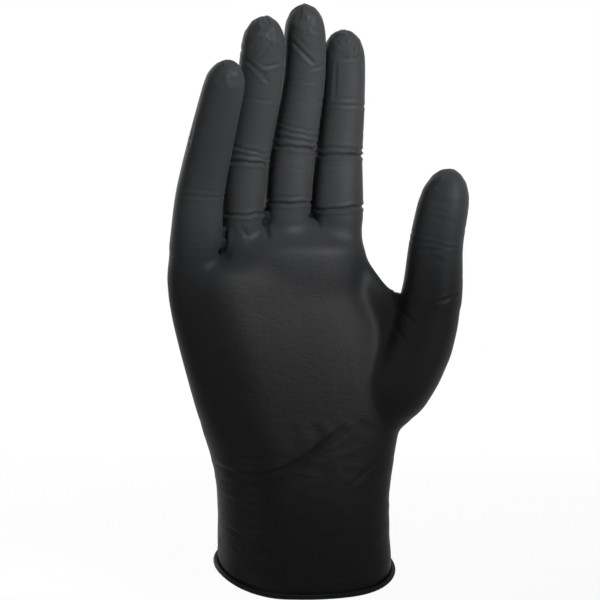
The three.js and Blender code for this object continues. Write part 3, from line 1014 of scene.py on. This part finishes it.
class GLOVE_OT_rim(bpy.types.Operator):
    """Roll the rim of the wrist opening"""

    bl_idname = "glove.rim"
    bl_label = "Rolled rim"

    def execute(self, context):
        settings = context.scene.glove_rim
        sides, around = 24, 360
        angles = np.arange(around) / around * TAU
        line = rim_line(angles)
        turns = np.arange(sides) / sides * TAU
        points = []
        for angle, middle in zip(angles, line):
            outward = np.array([math.cos(angle), math.sin(angle), 0])
            swell = 1 + 0.1 * noise.noise(Vector((3 * math.cos(angle), 3 * math.sin(angle), 0.5)))
            drift = 1.6 * math.sin(angle) + 0.8 * math.sin(3 * angle + 1)
            layers = np.abs(np.sin(settings.turns * (turns + drift) / 2)) - 0.6
            radius = settings.radius * swell + settings.ridge * layers
            ring = np.outer(np.cos(turns) * radius, outward)
            ring[:, 2] -= np.sin(turns) * radius
            points.append(middle + ring)
        faces = []
        for r in range(around):
            for k in range(sides):
                n, s = (k + 1) % sides, (r + 1) % around
                faces.append((r * sides + k, r * sides + n, s * sides + n, s * sides + k))
        piece = new_piece("rolled_rim_film", np.concatenate(points), faces)
        finish_piece(piece, rim_material())
        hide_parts("rolled_rim")
        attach(piece, "cuff")
        return {"FINISHED"}


# ---------------------------------------------------------------- stage


def seen_plainly(finish):
    """1 for rays that show the background: straight from the camera, mirrored or through something clear."""
    rays = ("Is Camera Ray", "Is Glossy Ray", "Is Transmission Ray")
    straight, mirrored, through = [finish.node("ShaderNodeLightPath", output=ray) for ray in rays]
    return finish.node("ShaderNodeMath", {"operation": "MINIMUM"}, {0: straight + mirrored + through, 1: 1})


def stage_finish():
    """A white sweep: it keeps the glove's shadow near the middle, and is plain white further out."""
    finish = Finish(bpy.data.materials.new("white_sweep"))
    plain = finish.node("ShaderNodeBsdfDiffuse", {}, {"Color": (0.8, 0.8, 0.8, 1)})
    glow = finish.node("ShaderNodeEmission", {}, {"Color": (1, 1, 1, 1), "Strength": 0.8})
    shadowed = finish.node("ShaderNodeBsdfDiffuse", {}, {"Color": (0.3, 0.3, 0.3, 1)})
    near = finish.node("ShaderNodeAddShader", {}, {0: glow, 1: shadowed})
    far = finish.node("ShaderNodeEmission", {}, {"Color": (1, 1, 1, 1), "Strength": 1})
    where = finish.node("ShaderNodeTexCoord", output=3)
    distance = finish.node("ShaderNodeVectorMath", {"operation": "LENGTH"}, {0: where}, output=1)
    share = finish.node("ShaderNodeMapRange", {}, {0: distance, 1: 0.3, 2: 0.9})
    seen = finish.node("ShaderNodeMixShader", {}, {0: share, 1: near, 2: far})
    mixed = finish.node("ShaderNodeMixShader", {}, {0: seen_plainly(finish), 1: plain, 2: seen})
    finish.node("ShaderNodeOutputMaterial", {}, {0: mixed})
    return finish.owner


def soft_lamp(name, place, size, power, target):
    lamp = bpy.data.lights.new(name, "AREA")
    lamp.shape = "RECTANGLE"
    lamp.size, lamp.size_y = size
    lamp.energy = power
    holder = bpy.data.objects.new(name, lamp)
    bpy.context.collection.objects.link(holder)
    holder.location = place
    holder.rotation_mode = "QUATERNION"
    holder.rotation_quaternion = (target - Vector(place)).to_track_quat("-Z", "Y")


def narrow_lamp(name, place, radius, power, cone, target):
    lamp = bpy.data.lights.new(name, "SPOT")
    lamp.shadow_soft_size = radius
    lamp.energy = power
    lamp.spot_size = cone
    lamp.spot_blend = 1
    holder = bpy.data.objects.new(name, lamp)
    bpy.context.collection.objects.link(holder)
    holder.location = place
    holder.rotation_mode = "QUATERNION"
    holder.rotation_quaternion = (target - Vector(place)).to_track_quat("-Z", "Y")


class GLOVE_OT_stage(bpy.types.Operator):
    """Set the white sweep, the lamps and the camera"""

    bl_idname = "glove.stage"
    bl_label = "Studio"

    def execute(self, context):
        settings = context.scene.glove_stage
        low, high = CAD_BOX
        middle = (Vector(low) + Vector(high)) / 2
        base = low[2] - settings.floor_drop
        profile = [(0.02, 0), (0.4, 0), (0.9, 0), (1.7, 0)]
        profile += [(1.7 + 0.5 * math.sin(t), 0.5 - 0.5 * math.cos(t)) for t in np.linspace(0.1, math.pi / 2, 14)]
        profile.append((2.2, 2.6))
        sides = 96
        turns = np.arange(sides) / sides * TAU
        points = [(r * math.cos(t), r * math.sin(t), base + z) for r, z in profile for t in turns]
        faces = [face[::-1] for face in tube_faces(len(profile), sides)]
        faces.append(tuple(range(sides)))
        sweep = new_piece("sweep", points, faces)
        finish_piece(sweep, stage_finish())
        soft_lamp("key", (0.7, -0.85, 0.7), (0.5, 0.9), 1.5, middle)
        soft_lamp("fill", (-0.95, -0.55, 0.3), (0.5, 0.9), 2.4, middle)
        soft_lamp("top", (0.1, 0.05, 1.1), (0.7, 0.7), 3.5, middle)
        soft_lamp("behind", (-0.5, 0.95, 0.55), (0.6, 0.9), 3.5, middle)
        narrow_lamp("fingers", (0.42, -0.8, 0.4), 0.1, 105, math.radians(12.8), Vector((-0.016, -0.01, 0.22)))
        narrow_lamp("thumb", (0.5, -0.75, 0.4), 0.1, 110, math.radians(8), Vector((0.066, -0.03, 0.148)))
        context.scene.world = self.room()
        self.camera(context, settings)
        context.scene.view_settings.view_transform = "Standard"
        return {"FINISHED"}

    def room(self):
        """A world that is white to look at and lights the glove more softly."""
        room = Finish(bpy.data.worlds.new("studio"))
        dim = room.node("ShaderNodeBackground", {}, {0: (1, 1, 1, 1), 1: 0.12})
        white = room.node("ShaderNodeBackground", {}, {0: (1, 1, 1, 1), 1: 1})
        mixed = room.node("ShaderNodeMixShader", {}, {0: seen_plainly(room), 1: dim, 2: white})
        room.node("ShaderNodeOutputWorld", {}, {0: mixed})
        return room.owner

    def camera(self, context, settings):
        turn, rise = math.radians(settings.azimuth), math.radians(settings.elevation)
        back = Vector((math.sin(turn) * math.cos(rise), -math.cos(turn) * math.cos(rise), math.sin(rise)))
        right = Vector((math.cos(turn), math.sin(turn), 0))
        up = back.cross(right)
        lens = bpy.data.cameras.new("camera")
        lens.lens = settings.lens
        distance = settings.frame_width * settings.lens / lens.sensor_width
        holder = bpy.data.objects.new("camera", lens)
        context.collection.objects.link(holder)
        target = right * (-2.3 * MM) + up * (111.4 * MM)
        holder.location = target + back * distance
        holder.rotation_mode = "QUATERNION"
        holder.rotation_quaternion = (-back).to_track_quat("-Z", "Y")
        context.scene.camera = holder


class GLOVE_PT_panel(bpy.types.Panel):
    """Everything that the glove is made from"""

    bl_label = "Glove"
    bl_idname = "GLOVE_PT_panel"
    bl_space_type = "VIEW_3D"
    bl_region_type = "UI"
    bl_category = "Glove"

    def draw(self, context):
        column = self.layout.column()
        for group in ("glove_film", "glove_rim", "glove_stage"):
            settings = getattr(context.scene, group)
            for name in settings.bl_rna.properties.keys():
                if name not in ("rna_type", "name"):
                    column.prop(settings, name)
            column.separator()
        for operator in OPERATORS:
            column.operator(operator.bl_idname)


GROUPS = {"glove_film": GloveFilm, "glove_rim": GloveRim, "glove_stage": GloveStage}
OPERATORS = (GLOVE_OT_fingers, GLOVE_OT_thumb, GLOVE_OT_palm, GLOVE_OT_cuff, GLOVE_OT_rim, GLOVE_OT_stage)


def register():
    for made in (*GROUPS.values(), *OPERATORS, GLOVE_PT_panel):
        bpy.utils.register_class(made)
    for name, group in GROUPS.items():
        setattr(bpy.types.Scene, name, PointerProperty(type=group))


def unregister():
    for name in GROUPS:
        delattr(bpy.types.Scene, name)
    for made in (GLOVE_PT_panel, *OPERATORS, *GROUPS.values()):
        bpy.utils.unregister_class(made)


def main():
    register()
    bpy.ops.glove.fingers()
    bpy.ops.glove.thumb()
    bpy.ops.glove.palm()
    bpy.ops.glove.cuff()
    bpy.ops.glove.rim()
    bpy.ops.glove.stage()


if __name__ == "__main__":
    main()
